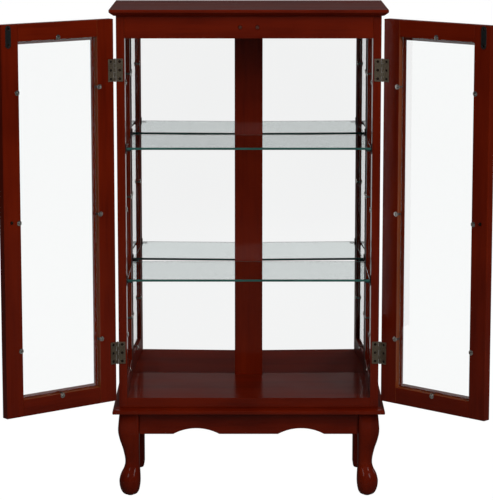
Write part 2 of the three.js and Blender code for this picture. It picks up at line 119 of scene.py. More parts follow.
# ---- Node trees ----------------------------------------------------------------------------------
class Nodes:
    """The node tree of a material or world, with short calls that add nodes and join them."""

    def __init__(self, owner: bpy.types.Material | bpy.types.World) -> None:
        """Starts the owner's tree afresh.

        Args:
            owner: The material or world that the tree belongs to.
        """
        owner.use_nodes = True
        self.owner = owner
        self.tree = owner.node_tree
        self.tree.nodes.clear()

    @classmethod
    def of(cls, name: str) -> "Nodes":
        """The empty tree of a new material."""
        return cls(bpy.data.materials.new(name))

    def add(self, kind: str, inputs: dict | None = None, **settings: object) -> bpy.types.Node:
        """Adds a node.

        Args:
            kind: The node's type, without its ShaderNode prefix.
            inputs: Values or sockets by the input's name or number.
            **settings: The node's own properties.

        Returns:
            The new node.
        """
        node = self.tree.nodes.new("ShaderNode" + kind)
        for key, value in settings.items():
            setattr(node, key, value)
        for key, value in (inputs or {}).items():
            if isinstance(value, Socket):
                self.tree.links.new(value, node.inputs[key])
            else:
                node.inputs[key].default_value = value
        return node

    def place(self, stretch: Sequence[float], turn: float = 0.0) -> Socket:
        """Coordinates fixed to the object, turned about Z, then stretched.

        Args:
            stretch: The scale along each axis.
            turn: The angle that the board stands at, in radians.

        Returns:
            The coordinates' socket.
        """
        source = self.add("TexCoord").outputs["Object"]
        if turn:
            turned = {"Vector": source, "Angle": -turn}
            source = self.add("VectorRotate", turned, rotation_type="Z_AXIS").outputs[0]
        return self.add("Mapping", {"Vector": source, "Scale": tuple(stretch)}).outputs[0]

    def noise(self, where: Socket, scale: float, detail: float = 2.0, rough: float = 0.5) -> Socket:
        """A noise value from 0 to 1 at the given coordinates."""
        given = {"Vector": where, "Scale": scale, "Detail": detail, "Roughness": rough}
        return self.add("TexNoise", given).outputs[0]

    def span(self, value: Socket, given: Point, wanted: Point) -> Socket:
        """A value moved from one range to another, and held inside it."""
        ends = {"Value": value, 1: given[0], 2: given[1], 3: wanted[0], 4: wanted[1]}
        return self.add("MapRange", ends).outputs[0]

    def maths(self, operation: str, a: Socket | float, b: Socket | float) -> Socket:
        """The result of one arithmetic step."""
        return self.add("Math", {0: a, 1: b}, operation=operation).outputs[0]

    def blend(self, share: Socket | float, a: Socket | Colour, b: Socket | Colour) -> Socket:
        """A colour between two others.

        Args:
            share: How much of the second colour there is, from 0 to 1.
            a: The first colour.
            b: The second colour.

        Returns:
            The mixed colour's socket.
        """
        sides = {0: share}
        for slot, colour in ((6, a), (7, b)):
            sides[slot] = colour if isinstance(colour, Socket) else (*colour, 1.0)
        return self.add("Mix", sides, data_type="RGBA").outputs[2]

    def ramp(self, value: Socket, stops: Sequence[tuple[float, Colour]]) -> Socket:
        """A colour looked up along a row of stops.

        Args:
            value: Where to look, from 0 to 1.
            stops: Places and their colours, in order.

        Returns:
            The colour's socket.
        """
        node = self.add("ValToRGB", {0: value})
        elements = node.color_ramp.elements
        while len(elements) < len(stops):
            elements.new(0.5)
        for element, (place, colour) in zip(elements, stops):
            element.position = place
            element.color = (*colour, 1.0)
        return node.outputs[0]

    def bump(self, height: Socket, strength: float, depth: float) -> Socket:
        """A normal that follows a height, given in metres of depth."""
        given = {"Strength": strength, "Distance": depth, "Height": height}
        return self.add("Bump", given).outputs[0]

    def edges(self, reach: float, sharpness: float = 6.0) -> Socket:
        """How near a point is to an outer or inner edge, from 0 to 1.

        Args:
            reach: The distance from an edge that counts as near, in metres.
            sharpness: How quickly the value rises.

        Returns:
            The value's socket.
        """
        rounded = self.add("Bevel", {"Radius": reach}, samples=4).outputs[0]
        true = self.add("NewGeometry").outputs["Normal"]
        along = self.add("VectorMath", {0: rounded, 1: true}, operation="DOT_PRODUCT").outputs[1]
        away = self.maths("SUBTRACT", 1.0, along)
        scaled = self.add("Math", {0: away, 1: sharpness}, operation="MULTIPLY", use_clamp=True)
        return scaled.outputs[0]

    def surface(self, **inputs: object) -> bpy.types.Node:
        """The main shader.

        Args:
            **inputs: Values or sockets by the input's name, with _ for a space.

        Returns:
            The shader's node.
        """
        named = {key.replace("_", " "): value for key, value in inputs.items()}
        return self.add("BsdfPrincipled", named)

    def finish(self, shader: Socket, volume: Socket | None = None) -> bpy.types.Material:
        """Joins the output and gives the material.

        Args:
            shader: What the surface shows.
            volume: What fills the inside, if anything does.

        Returns:
            The finished material.
        """
        ends = {"Surface": shader}
        if volume is not None:
            ends["Volume"] = volume
        self.add("OutputMaterial", ends)
        return self.owner


# ---- Finishes ------------------------------------------------------------------------------------
@dataclass(frozen=True)
class CherryLacquer:
    """Dark cherry stain under a clear gloss lacquer, over one way of the grain."""

    grain: Grain = Grain.UPRIGHT
    turn: float = 0.0
    name: str = "cherry"
    deep: Colour = (0.068, 0.0036, 0.0006)
    body: Colour = (0.122, 0.0076, 0.0009)
    light: Colour = (0.175, 0.0125, 0.0015)
    # The paler edge colour: partly wear of the lacquer, partly a painted highlight on the rounded edges.
    edge_wear_and_highlight: Colour = (0.240, 0.0280, 0.0050)
    figure_share: float = 0.42
    fibre_share: float = 0.22
    blotch_share: float = 0.36
    pore_share: float = 0.28
    edge_reach: float = 1.6 * MM
    coat: float = 0.32
    coat_roughness: float = 0.08
    slot: str = "cherry_lacquer"

    @functools.cache
    def material(self) -> bpy.types.Material:
        """Makes figure, fibres, blotches, pores, and paler edges: wear plus a painted highlight.

        Returns:
            The lacquered wood.
        """
        nodes = Nodes.of(f"{self.name}_{self.grain.name.lower()}")
        along = nodes.place(self.grain.value, self.turn)
        even = nodes.place(EVEN)
        figure = nodes.noise(along, 26.0, 3.0, 0.55)
        fibres = nodes.noise(along, 210.0, 3.0, 0.6)
        blotches = nodes.noise(even, 6.5, 2.0)
        tone = nodes.maths("MULTIPLY", figure, self.figure_share)
        for noise, share in ((fibres, self.fibre_share), (blotches, self.blotch_share)):
            tone = nodes.maths("ADD", tone, nodes.maths("MULTIPLY", noise, share))
        colour = nodes.ramp(tone, ((0.32, self.deep), (0.52, self.body), (0.74, self.light)))
        pores = nodes.noise(along, 900.0, 2.0, 0.7)
        pits = nodes.span(pores, (0.62, 0.72), (0.0, 1.0))
        colour = nodes.blend(nodes.maths("MULTIPLY", pits, self.pore_share), colour, self.deep)
        # Paler edges, in patches: partly wear, partly a painted highlight along every rounded edge.
        patchy = nodes.span(blotches, (0.3, 0.7), (0.12, 0.4))
        edge_wear_and_highlight_share = nodes.maths("MULTIPLY", nodes.edges(self.edge_reach), patchy)
        colour = nodes.blend(edge_wear_and_highlight_share, colour, self.edge_wear_and_highlight)
        sheen = nodes.span(blotches, (0.2, 0.8), (0.36, 0.50))
        relief = nodes.maths("SUBTRACT", nodes.maths("MULTIPLY", fibres, 0.4), pits)
        ripple = nodes.noise(even, 95.0, 2.0)
        shader = nodes.surface(
            Base_Color=colour,
            Roughness=sheen,
            Specular_IOR_Level=0.03,
            Normal=nodes.bump(relief, 0.12, 0.12 * MM),
            Coat_Weight=self.coat,
            Coat_Roughness=self.coat_roughness,
            Coat_IOR=1.5,
            Coat_Normal=nodes.bump(ripple, 0.05, 0.25 * MM),
        )
        return nodes.finish(shader.outputs[0])


@dataclass(frozen=True)
class ClearGlass:
    """Float glass. Lamps shine through it, and long ways through it turn green."""

    name: str
    tint: Colour = (0.940, 0.946, 0.945)
    density: float = 4.0
    inner: Colour = (0.25, 0.80, 0.70)

    @functools.cache
    def material(self) -> bpy.types.Material:
        """Makes the glass, with a faint unevenness of tint.

        Returns:
            The glass, which only a shadow ray passes unbent.
        """
        nodes = Nodes.of(self.name)
        haze = nodes.noise(nodes.place(EVEN), 3.0, 1.0)
        dimmer = tuple(0.985 * channel for channel in self.tint)
        glass = nodes.surface(
            Base_Color=nodes.blend(haze, self.tint, dimmer),
            Roughness=0.0,
            IOR=1.5,
            Transmission_Weight=1.0,
        )
        passing = nodes.add("BsdfTransparent", {"Color": (*self.tint, 1.0)})
        path = nodes.add("LightPath").outputs["Is Shadow Ray"]
        sides = {0: path, 1: glass.outputs[0], 2: passing.outputs[0]}
        filled = {"Color": (*self.inner, 1.0), "Density": self.density}
        green = nodes.add("VolumeAbsorption", filled)
        return nodes.finish(nodes.add("MixShader", sides).outputs[0], green.outputs[0])


@dataclass(frozen=True)
class CutEdge:
    """The polished edge of a thick pane, which looks deep green from outside."""

    deep: Colour = (0.016, 0.060, 0.050)
    pale: Colour = (0.040, 0.125, 0.105)

    @functools.cache
    def material(self) -> bpy.types.Material:
        """Makes slow changes of green along the edge, and a few fine grinding marks.

        Returns:
            The edge's finish.
        """
        nodes = Nodes.of("green_cut_edge")
        clouds = nodes.noise(nodes.place(EVEN), 14.0, 3.0)
        marks = nodes.noise(nodes.place((1.0, 1.0, 12.0)), 260.0, 2.0)
        share = nodes.span(clouds, (0.3, 0.7), (0.0, 1.0))
        shader = nodes.surface(
            Base_Color=nodes.blend(share, self.deep, self.pale),
            Roughness=nodes.span(marks, (0.3, 0.7), (0.10, 0.22)),
            Specular_IOR_Level=0.25,
            Normal=nodes.bump(marks, 0.08, 0.03 * MM),
        )
        return nodes.finish(shader.outputs[0])


@dataclass(frozen=True)
class Silvering:
    """A mirror pane, brightly silvered, with a darker green cut edge."""

    silver: Colour = (0.885, 0.890, 0.890)
    greyer: Colour = (0.865, 0.870, 0.870)
    edge: Colour = (0.10, 0.22, 0.18)

    @functools.cache
    def material(self) -> bpy.types.Material:
        """Makes the silver, slightly uneven, and its edge.

        Returns:
            The mirror.
        """
        nodes = Nodes.of("silvered_mirror")
        haze = nodes.noise(nodes.place(EVEN), 4.0, 1.0)
        colour = nodes.blend(haze, self.silver, self.greyer)
        colour = nodes.blend(nodes.edges(1.0 * MM), colour, self.edge)
        shader = nodes.surface(Base_Color=colour, Metallic=1.0, Roughness=0.0)
        return nodes.finish(shader.outputs[0])


@dataclass(frozen=True)
class Metal:
    """A metal with a mottled surface, and edges that wear bright."""

    name: str
    dark: Colour
    light: Colour
    bright: Colour
    smooth: float
    dull: float
    slot: str
    mottle: float = 420.0
    metallic: float = 1.0
    edge_reach: float = 0.5 * MM

    @functools.cache
    def material(self) -> bpy.types.Material:
        """Makes two tones, uneven gloss, fine scratches and bright edges.

        Returns:
            The metal.
        """
        nodes = Nodes.of(self.name)
        even = nodes.place(EVEN)
        patches = nodes.noise(even, self.mottle, 4.0, 0.6)
        scratches = nodes.noise(nodes.place((1.0, 1.0, 0.12)), 2600.0, 2.0)
        colour = nodes.blend(nodes.span(patches, (0.35, 0.65), (0.0, 1.0)), self.dark, self.light)
        colour = nodes.blend(nodes.edges(self.edge_reach), colour, self.bright)
        shader = nodes.surface(
            Base_Color=colour,
            Metallic=self.metallic,
            Roughness=nodes.span(patches, (0.25, 0.75), (self.smooth, self.dull)),
            Normal=nodes.bump(nodes.maths("ADD", patches, scratches), 0.10, 0.05 * MM),
        )
        return nodes.finish(shader.outputs[0])


@dataclass(frozen=True)
class Plastic:
    """A moulded plastic with a fine texture."""

    name: str
    colour: Colour
    paler: Colour
    roughness: float = 0.42
    spread: float = 0.12
    slot: str = "black_plastic"

    @functools.cache
    def material(self) -> bpy.types.Material:
        """Makes a slight change of tone and a pitted surface.

        Returns:
            The plastic.
        """
        nodes = Nodes.of(self.name)
        even = nodes.place(EVEN)
        tone = nodes.noise(even, 160.0, 3.0)
        pits = nodes.noise(even, 3200.0, 2.0)
        shader = nodes.surface(
            Base_Color=nodes.blend(tone, self.colour, self.paler),
            Roughness=nodes.span(tone, (0.3, 0.7), (self.roughness, self.roughness + self.spread)),
            Normal=nodes.bump(pits, 0.15, 0.04 * MM),
        )
        return nodes.finish(shader.outputs[0])


@dataclass(frozen=True)
class Hardboard:
    """Pressed brown fibreboard, with its woven back outwards."""

    body: Colour = (0.105, 0.052, 0.026)
    pale: Colour = (0.175, 0.098, 0.052)
    dark: Colour = (0.050, 0.024, 0.013)

    @functools.cache
    def material(self) -> bpy.types.Material:
        """Makes matted fibres, dark specks and the screen's imprint.

        Returns:
            The board's finish.
        """
        nodes = Nodes.of("hardboard")
        even = nodes.place(EVEN)
        fibres = nodes.noise(even, 340.0, 5.0, 0.7)
        clouds = nodes.noise(even, 9.0, 3.0)
        specks = nodes.span(nodes.noise(even, 620.0, 2.0), (0.66, 0.74), (0.0, 1.0))
        tone = nodes.maths("ADD", fibres, nodes.maths("MULTIPLY", clouds, 0.25))
        colour = nodes.ramp(tone, ((0.42, self.dark), (0.62, self.body), (0.84, self.pale)))
        colour = nodes.blend(nodes.maths("MULTIPLY", specks, 0.6), colour, self.dark)
        screen = nodes.add("TexVoronoi", {"Vector": even, "Scale": 520.0}).outputs["Distance"]
        relief = nodes.maths("ADD", fibres, screen)
        shader = nodes.surface(
            Base_Color=colour,
            Roughness=nodes.span(clouds, (0.3, 0.7), (0.66, 0.82)),
            Specular_IOR_Level=0.25,
            Normal=nodes.bump(relief, 0.35, 0.15 * MM),
        )
        return nodes.finish(shader.outputs[0])


# The rebate walls' paler, more orange copy of the lacquer: painted light, the lamplight those walls
# catch.
LIT_REBATE_PAINT = CherryLacquer(
    name="painted_lit_rebate", deep=(0.130, 0.026, 0.0060), body=(0.200, 0.042, 0.0100),
    light=(0.270, 0.066, 0.0180), edge_wear_and_highlight=(0.300, 0.080, 0.0240),
)
DOOR_GLASS = ClearGlass("door_glass")
SHELF_GLASS = ClearGlass("shelf_glass", (0.975, 0.980, 0.982), 18.0, (0.02, 0.44, 0.39))
SHELF_EDGE = CutEdge()
MIRROR = Silvering()
MIRROR_EDGE = 0.4 * MM
BRASS = Metal(
    "antique_brass", dark=(0.20, 0.165, 0.115), light=(0.40, 0.34, 0.25),
    bright=(0.62, 0.55, 0.42), smooth=0.34, dull=0.50, slot="antique_brass",
)
NICKEL = Metal(
    "bright_nickel", dark=(0.50, 0.48, 0.44), light=(0.74, 0.72, 0.68),
    bright=(0.92, 0.90, 0.86), smooth=0.14, dull=0.28, slot="nickel",
)
STEEL = Metal(
    "black_steel", dark=(0.016, 0.020, 0.020), light=(0.036, 0.042, 0.042),
    bright=(0.24, 0.25, 0.25), smooth=0.30, dull=0.46, slot="black_steel", metallic=0.7,
)
SCREW_STEEL = Metal(
    "dark_screw", dark=(0.020, 0.016, 0.012), light=(0.055, 0.045, 0.034),
    bright=(0.20, 0.17, 0.13), smooth=0.30, dull=0.50, slot="black_steel", edge_reach=0.25 * MM,
)
CATCH_CUP = Metal(
    "catch_cup", dark=(0.090, 0.030, 0.018), light=(0.17, 0.06, 0.040),
    bright=(0.26, 0.11, 0.080), smooth=0.34, dull=0.50, slot="nickel",
)
FERRITE = Metal(
    "magnet_face", dark=(0.120, 0.042, 0.030), light=(0.21, 0.085, 0.065),
    bright=(0.30, 0.15, 0.120), smooth=0.36, dull=0.52, slot="nickel", metallic=0.8,
)
BLACK_PLASTIC = Plastic("black_plastic", (0.010, 0.010, 0.011), (0.020, 0.020, 0.021))
GLIDE = Plastic("brown_glide", (0.030, 0.018, 0.012), (0.050, 0.032, 0.022), 0.55)
HARDBOARD = Hardboard()
Solid = CherryLacquer | Metal | Plastic
Finish = Solid | ClearGlass | CutEdge | Silvering | Hardboard


# ---- Making meshes -------------------------------------------------------------------------------
class Shape:
    """A mesh in the making, in metres in the row frame, that ends as one named piece."""

    def __init__(self) -> None:
        """Starts an empty shape."""
        self.bm = bmesh.new()

    def _placed(self, points: Iterable[Sequence[float]], place: Matrix) -> list[bmesh.types.BMVert]:
        """New vertices at the given points, moved by a matrix."""
        return [self.bm.verts.new(place @ Vector(point)) for point in points]

    def _loop(self, verts: Sequence[bmesh.types.BMVert]) -> list[bmesh.types.BMEdge]:
        """The closed row of edges through the given vertices."""
        return [self.bm.edges.new((a, b)) for a, b in zip(verts, [*verts[1:], verts[0]])]

    def _band(self, low: Sequence[bmesh.types.BMVert], high: Sequence[bmesh.types.BMVert]) -> None:
        """Adds the faces between two rings of as many vertices.

        Args:
            low: The first ring.
            high: The second ring.
        """
        for i, start in enumerate(low):
            j = (i + 1) % len(low)
            self.bm.faces.new((start, low[j], high[j], high[i]))

    def loft(self, rings: Sequence[Sequence[Vector]], place: Matrix | None = None) -> None:
        """Adds a closed body over rings of points.

        Args:
            rings: Rings of as many points each, lowest first.
            place: Where the body goes.
        """
        made = [self._placed(ring, place or Matrix()) for ring in rings]
        for low, high in zip(made, made[1:]):
            self._band(low, high)
        self.bm.faces.new(made[0][::-1])
        self.bm.faces.new(made[-1])

    def lathe(self, profile: Sequence[Point], place: Matrix, segments: int = 40) -> None:
        """Adds a turned body about Z.

        Args:
            profile: Radius and height of each ring, from one end to the other.
            place: Where the body goes.
            segments: How many sides it is turned with.
        """
        rings = []
        for radius, height in profile:
            rings.append([Vector((x, y, height)) for x, y in circle(0.0, 0.0, radius, segments)])
        self.loft(rings, place)

    def prism(
        self, outline: Sequence[Point], depth: float, place: Matrix,
        holes: Sequence[Sequence[Point]] = (),
    ) -> None:
        """Adds a flat plate along Z, with any holes through it.

        Args:
            outline: The plate's corners, in order.
            depth: Its thickness, from 0 up.
            place: Where the plate goes.
            holes: The corners of each hole.
        """
        levels = []
        for height in (0.0, depth):
            loops = [
                self._placed([(x, y, height) for x, y in loop], place) for loop in (outline, *holes)
            ]
            edges = [edge for loop in loops for edge in self._loop(loop)]
            bmesh.ops.triangle_fill(self.bm, edges=edges, use_beauty=True)
            levels.append(loops)
        for low, high in zip(*levels):
            self._band(low, high)

    def screw_head(self, place: Matrix, radius: float, height: float) -> None:
        """Adds a rounded screw head with a cross recess, standing on z = 0.

        Args:
            place: Where the head goes.
            radius: Its radius.
            height: How far it stands proud.
        """
        profile = ((1.0, 0.0), (1.0, 0.30), (0.93, 0.66), (0.80, 0.90), (0.64, 1.0))
        rings = []
        for share, rise in profile:
            outline = circle(0.0, 0.0, radius * share)
            rings.append(self._placed([(x, y, height * rise) for x, y in outline], place))
        for low, high in zip(rings, rings[1:]):
            self._band(low, high)
        self.bm.faces.new(rings[0][::-1])
        recess = cross(0.13 * radius, 0.50 * radius)
        rim = self._placed([(x, y, height) for x, y in recess], place)
        floor = self._placed([(0.7 * x, 0.7 * y, 0.25 * height) for x, y in recess], place)
        top = rings[-1]
        outer = [self.bm.edges.get(pair) for pair in zip(top, [*top[1:], top[0]])]
        bmesh.ops.triangle_fill(self.bm, edges=[*outer, *self._loop(rim)], use_beauty=True)
        self._band(rim, floor)
        self.bm.faces.new(floor)

    def piece(
        self, name: str, body: str, finish: Solid, stands_for: str = "", crease: float = 35.0
    ) -> bpy.types.Object:
        """Ends the shape as a piece that rides on a body.

        Args:
            name: The piece's name.
            body: The body that it moves with.
            finish: What it is made of.
            stands_for: The frame's node that it replaces, if it replaces one.
            crease: The angle above which an edge stays sharp, in degrees.

        Returns:
            The new object.
        """
        bmesh.ops.recalc_face_normals(self.bm, faces=self.bm.faces)
        mesh = bpy.data.meshes.new(name)
        self.bm.to_mesh(mesh)
        self.bm.free()
        mesh.materials.append(finish.material())
        mesh.shade_smooth()
        mesh.set_sharp_from_angle(angle=math.radians(crease))
        made = bpy.data.objects.new(name, mesh)
        bpy.context.scene.collection.objects.link(made)
        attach(made, body)
        if stands_for:
            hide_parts(stands_for)
        log.info("built %s on %s", name, body)
        return made


def rounded_rectangle(width: float, height: float, radius: float, steps: int = 5) -> list[Point]:
    """The outline of a rectangle with round corners, about its middle.

    Args:
        width: Its size along X.
        height: Its size along Y.
        radius: The corners' radius.
        steps: How many edges each corner has.

    Returns:
        The corners, in order.
    """
    points = []
    for quarter in range(4):
        cx = (width / 2 - radius) * (1 if quarter in (0, 3) else -1)
        cy = (height / 2 - radius) * (1 if quarter in (0, 1) else -1)
        for i in range(steps + 1):
            angle = (quarter + i / steps) * math.pi / 2
            points.append((cx + radius * math.cos(angle), cy + radius * math.sin(angle)))
    return points


def circle(x: float, y: float, radius: float, count: int = 24) -> list[Point]:
    """The outline of a circle."""
    turns = (2 * math.pi * i / count for i in range(count))
    return [(x + radius * math.cos(a), y + radius * math.sin(a)) for a in turns]


def cross(half: float, reach: float) -> list[Point]:
    """The twelve corners of a cross.

    Args:
        half: Half of an arm's width.
        reach: An arm's length from the middle.

    Returns:
        The corners, in order.
    """
    points = []
    for c, s in ((1, 0), (0, 1), (-1, 0), (0, -1)):
        for x, y in ((reach, -half), (reach, half), (half, half)):
            points.append((c * x - s * y, s * x + c * y))
    return points


def soften(obj: bpy.types.Object, width: float, segments: int = 2, welded: bool = False) -> None:
    """Rounds an object's edges.

    Args:
        obj: The object.
        width: The radius of the rounding, in metres.
        segments: How many faces make up each edge.
        welded: True for a node of the frame, whose faces have to be joined first.
    """
    if welded:
        weld = obj.modifiers.new("join faces", "WELD")
        weld.merge_threshold = 0.002 * MM
        flat = obj.modifiers.new("whole faces", "DECIMATE")
        flat.decimate_type = "DISSOLVE"
        flat.angle_limit = math.radians(0.5)
    bevel = obj.modifiers.new("round edges", "BEVEL")
    bevel.width = width
    bevel.segments = segments
    bevel.limit_method = "ANGLE"
    bevel.angle_limit = math.radians(32)
    bevel.use_clamp_overlap = False
    shade = obj.modifiers.new("even shading", "WEIGHTED_NORMAL")
    shade.weight = 80
    shade.keep_sharp = False


def dress(node: str, finish: Finish, width: float = 0.0, segments: int = 2) -> None:
    """Gives a node of the frame its finish, and rounds its edges.

    Args:
        node: The node's name.
        finish: What it is made of.
        width: The radius of its edges, or 0 to leave them.
        segments: How many faces make up each edge.
    """
    obj = frame["nodes"][node]
    obj.data.materials.clear()
    obj.data.materials.append(finish.material())
    if width:
        obj.data.shade_smooth()
        soften(obj, width, segments, welded=True)
    log.info("dressed %s", node)


def extents(node: str, place: Matrix) -> tuple[Vector, Vector]:
    """A node's lowest and highest corner in a local frame.

    Args:
        node: The node's name.
        place: The matrix from the local frame to the row frame.

    Returns:
        The two corners.
    """
    back = place.inverted()
    points = [back @ vertex.co for vertex in frame["nodes"][node].data.vertices]
    low = Vector(min(point[i] for point in points) for i in range(3))
    high = Vector(max(point[i] for point in points) for i in range(3))
    return low, high


def facing(direction: int) -> Matrix:
    """A turn that lays a body built along +Z along local Y, forwards or backwards."""
    return Matrix.Rotation(-direction * math.pi / 2, 4, "X")


# ---- Case ----------------------------------------------------------------------------------------
@dataclass
class Carcase:
    """The fixed boards: crown, base, floor, side frames, rails, aprons, centre stile and back."""

    edge: float = 0.8 * MM
    moulding_edge: float = 1.6 * MM
    panel_screw_radius: float = 3.6 * MM
    panel_screw_height: float = 1.6 * MM
    panel_screws: int = 4

    def dress(self) -> None:
        """Gives every board its grain and its rounded edges."""
        for node in ("crown_board", "base_board"):
            dress(node, CherryLacquer(Grain.ACROSS), self.moulding_edge, 3)
        boards = [
            ("floor_panel", Grain.ACROSS), ("top_rail", Grain.ACROSS),
            ("front_apron", Grain.ACROSS), ("rear_apron", Grain.ACROSS),
            ("back_centre_stile", Grain.UPRIGHT),
        ]
        for side in Side:
            label = side.value
            boards += [
                (f"{label}_front_stile", Grain.UPRIGHT), (f"{label}_rear_stile", Grain.UPRIGHT),
                (f"{label}_side_top_rail", Grain.DEEP), (f"{label}_side_bottom_rail", Grain.DEEP),
                (f"{label}_apron", Grain.DEEP),
            ]
        for node, grain in boards:
            dress(node, CherryLacquer(grain), self.edge)
        dress("back_panel", HARDBOARD)

    def build(self) -> None:
        """Adds the screws that hold the back panel to the centre stile."""
        low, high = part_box("back_panel")
        shape = Shape()
        for i in range(self.panel_screws):
            height = low.z + (high.z - low.z) * (i + 0.5) / self.panel_screws
            spot = Matrix.Translation(((low.x + high.x) / 2, high.y, height)) @ facing(1)
            shape.screw_head(spot, self.panel_screw_radius, self.panel_screw_height)
        shape.piece("back_panel_screws", CASE, SCREW_STEEL)


@dataclass(frozen=True)
class Station:
    """One height of a leg's outline, in millimetres from the case's corner."""

    height: float
    out: float
    inner: float
    square: float


@dataclass
class Leg:
    """One leg: rings of rounded squares from the foot to the base board, on a small glide."""

    side: Side
    front: bool
    points_round: int = 72
    steps: int = 6
    glide_radius: float = 7.5 * MM
    glide_height: float = 3 * MM
    edge: float = 0.8 * MM
    crease: float = 60.0

    CABRIOLE = (
        Station(3, -9, 35, 2.0), Station(5.5, -5.6, 38.2, 2.0), Station(12, -1.6, 41.8, 2.1),
        Station(22, 1.3, 44, 2.2), Station(31, 2.2, 45.0, 2.2), Station(38, 1.7, 45.2, 2.2),
        Station(50, -1.8, 44.8, 2.3), Station(64, -8.8, 43.8, 2.5), Station(80, -10.9, 43.2, 2.8),
        Station(105, -6.6, 43.2, 3.4), Station(128, 0, 43.4, 4.4), Station(148, 3.6, 43.5, 5.5),
        Station(168, 2.6, 43.5, 7.0), Station(192, 0, 43.5, 9.0),
    )
    STRAIGHT = (
        Station(3, -6, 38, 8), Station(5, -2.5, 41.5, 10), Station(9, -0.6, 43.4, 12),
        Station(14, 0, 44, 14), Station(192, 0, 44, 14),
    )

    @property
    def node(self) -> str:
        """The frame's leg, which this one stands for."""
        return f"{'front' if self.front else 'rear'}_leg_{self.side.value}"

    def corner(self) -> Vector:
        """Finds the case's corner above the leg.

        Returns:
            The corner, brought down to the ground.
        """
        stile = f"{self.side.value}_{'front' if self.front else 'rear'}_stile"
        low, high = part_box(stile)
        x = low.x if self.side is Side.LEFT else high.x
        return Vector((x, low.y if self.front else high.y, 0.0))

    def _smoothed(self) -> list[Station]:
        """Fills the cabriole outline's smooth curve in between its stations.

        Returns:
            All the stations, lowest first.
        """
        given = self.CABRIOLE if self.front else self.STRAIGHT
        if not self.front:
            return list(given)
        ends = (given[0], *given, given[-1])
        made = []
        for a, b, c, d in zip(ends, ends[1:], ends[2:], ends[3:]):
            for step in range(self.steps):
                t = step / self.steps
                made.append(Station(*(
                    catmull_rom(*(getattr(s, name) for s in (a, b, c, d)), t)
                    for name in ("height", "out", "inner", "square")
                )))
        return [*made, given[-1]]

    def _ring(self, station: Station, corner: Vector) -> list[Vector]:
        """Works out one ring of the leg, a rounded square about its middle.

        Args:
            station: The ring's height and sizes.
            corner: The case's corner.

        Returns:
            The ring's points, in order.
        """
        half = (station.inner + station.out) / 2 * MM
        middle = (station.inner - station.out) / 2 * MM
        inward = Vector((-self.side.sign, 1 if self.front else -1, 0))
        centre = corner + inward * middle
        ring = []
        for i in range(self.points_round):
            angle = 2 * math.pi * (i + 0.5) / self.points_round
            ring.append(centre + Vector((
                superellipse(math.cos(angle), station.square) * half,
                superellipse(math.sin(angle), station.square) * half,
                station.height * MM,
            )))
        return ring

    def build(self) -> None:
        """Builds the leg and its glide."""
        corner = self.corner()
        stations = self._smoothed()
        rings = [self._ring(station, corner) for station in stations]
        shape = Shape()
        shape.loft(rings)
        leg = shape.piece(f"carved_{self.node}", CASE, CherryLacquer(), self.node, self.crease)
        soften(leg, self.edge)
        leg.modifiers["round edges"].angle_limit = math.radians(self.crease)
        foot = stations[0]
        middle = (foot.inner - foot.out) / 2 * MM
        spot = corner + Vector((-self.side.sign * middle, (1 if self.front else -1) * middle, 0))
        radius, height = self.glide_radius, self.glide_height
        pad = Shape()
        pad.lathe(
            [(0.8 * radius, 0), (radius, 0.25 * height), (radius, 0.8 * height), (0.9 * radius, height)],
            Matrix.Translation(spot),
        )
        pad.piece(f"glide_{self.node}", CASE, GLIDE)


def catmull_rom(a: float, b: float, c: float, d: float, t: float) -> float:
    """A smooth value between b and c, with a and d before and after them."""
    return 0.5 * (
        2 * b + (c - a) * t + (2 * a - 5 * b + 4 * c - d) * t * t + (3 * b - a - 3 * c + d) * t ** 3
    )


def superellipse(value: float, squareness: float) -> float:
    """A cosine or sine pushed out towards a square."""
    return math.copysign(abs(value) ** (2 / squareness), value)


